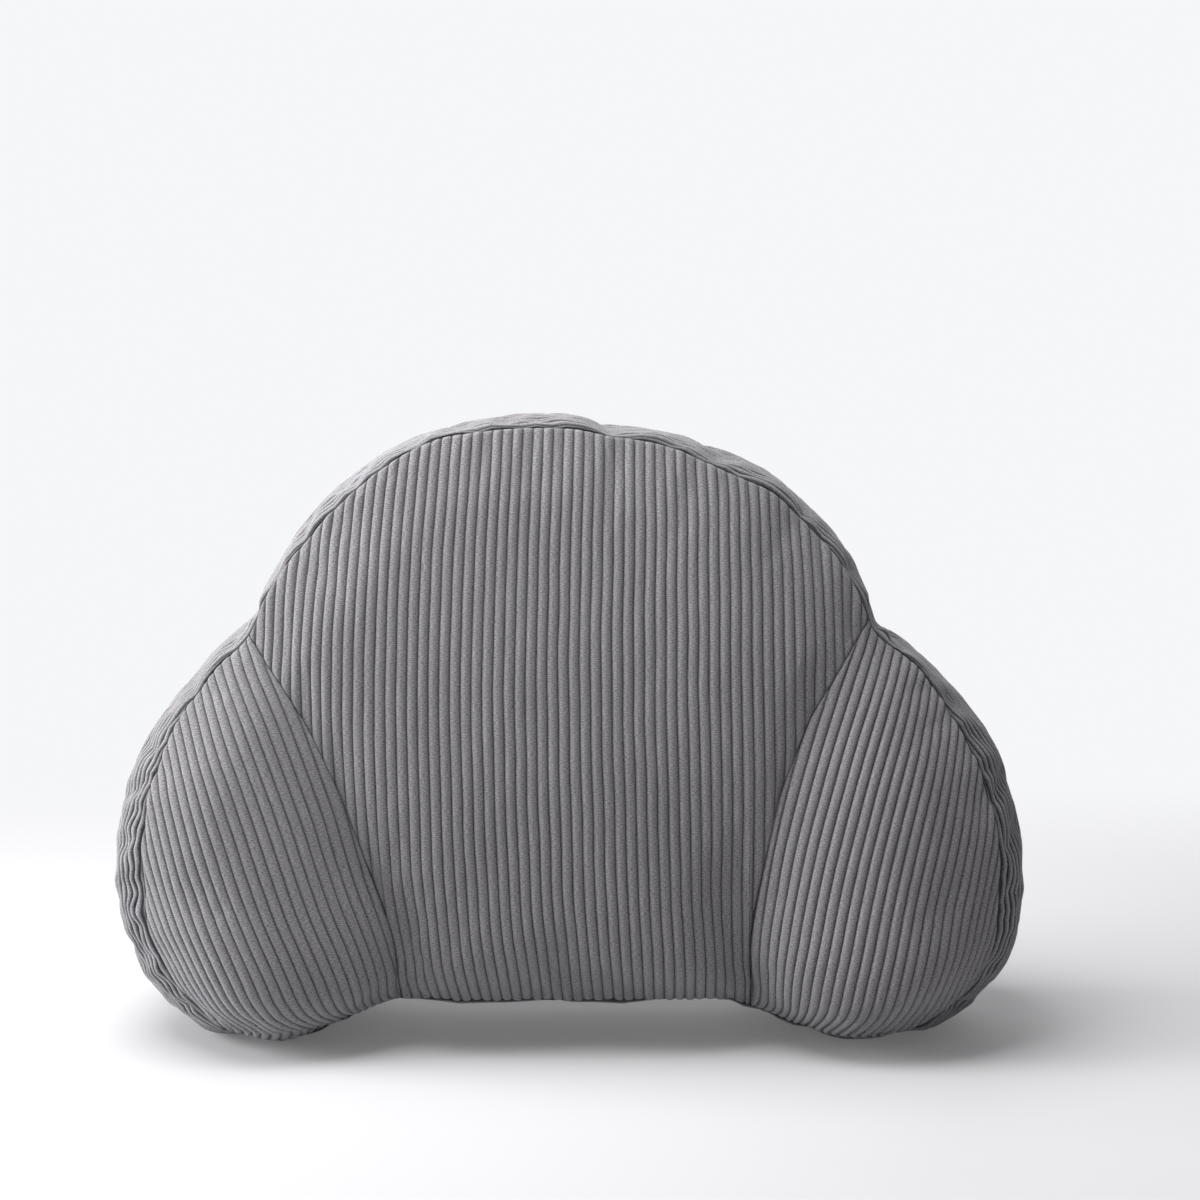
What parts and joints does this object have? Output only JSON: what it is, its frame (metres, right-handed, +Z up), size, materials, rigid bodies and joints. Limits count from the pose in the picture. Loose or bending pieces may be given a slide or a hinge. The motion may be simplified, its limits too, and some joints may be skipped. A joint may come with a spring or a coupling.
{
  "type": "lumbar pillow",
  "caption": "Cloud-shaped box cushion in wide-wale corduroy: a rounded back rest between forward-swelling arm bolsters, standing on its base.",
  "frame": {"origin": "on the ground under the middle of the pillow's box", "axes": "+Z up, -Y the way the face looks, +X at the right hand of someone who looks at the face"},
  "size_m": [0.5006, 0.1916, 0.3403],
  "materials": {
    "corduroy_face": "grey wide-wale corduroy, ribs upright on the centre panel and leaning on the wings",
    "corduroy_edge": "grey wide-wale corduroy, ribs along the boxing strip and upright on the back"
  },
  "bodies": {
    "root": {"front_centre": "corduroy_face", "wing_left": "corduroy_face", "wing_right": "corduroy_face", "boxing_strip": "corduroy_edge", "back_panel": "corduroy_edge"}
  },
  "joints": []
}
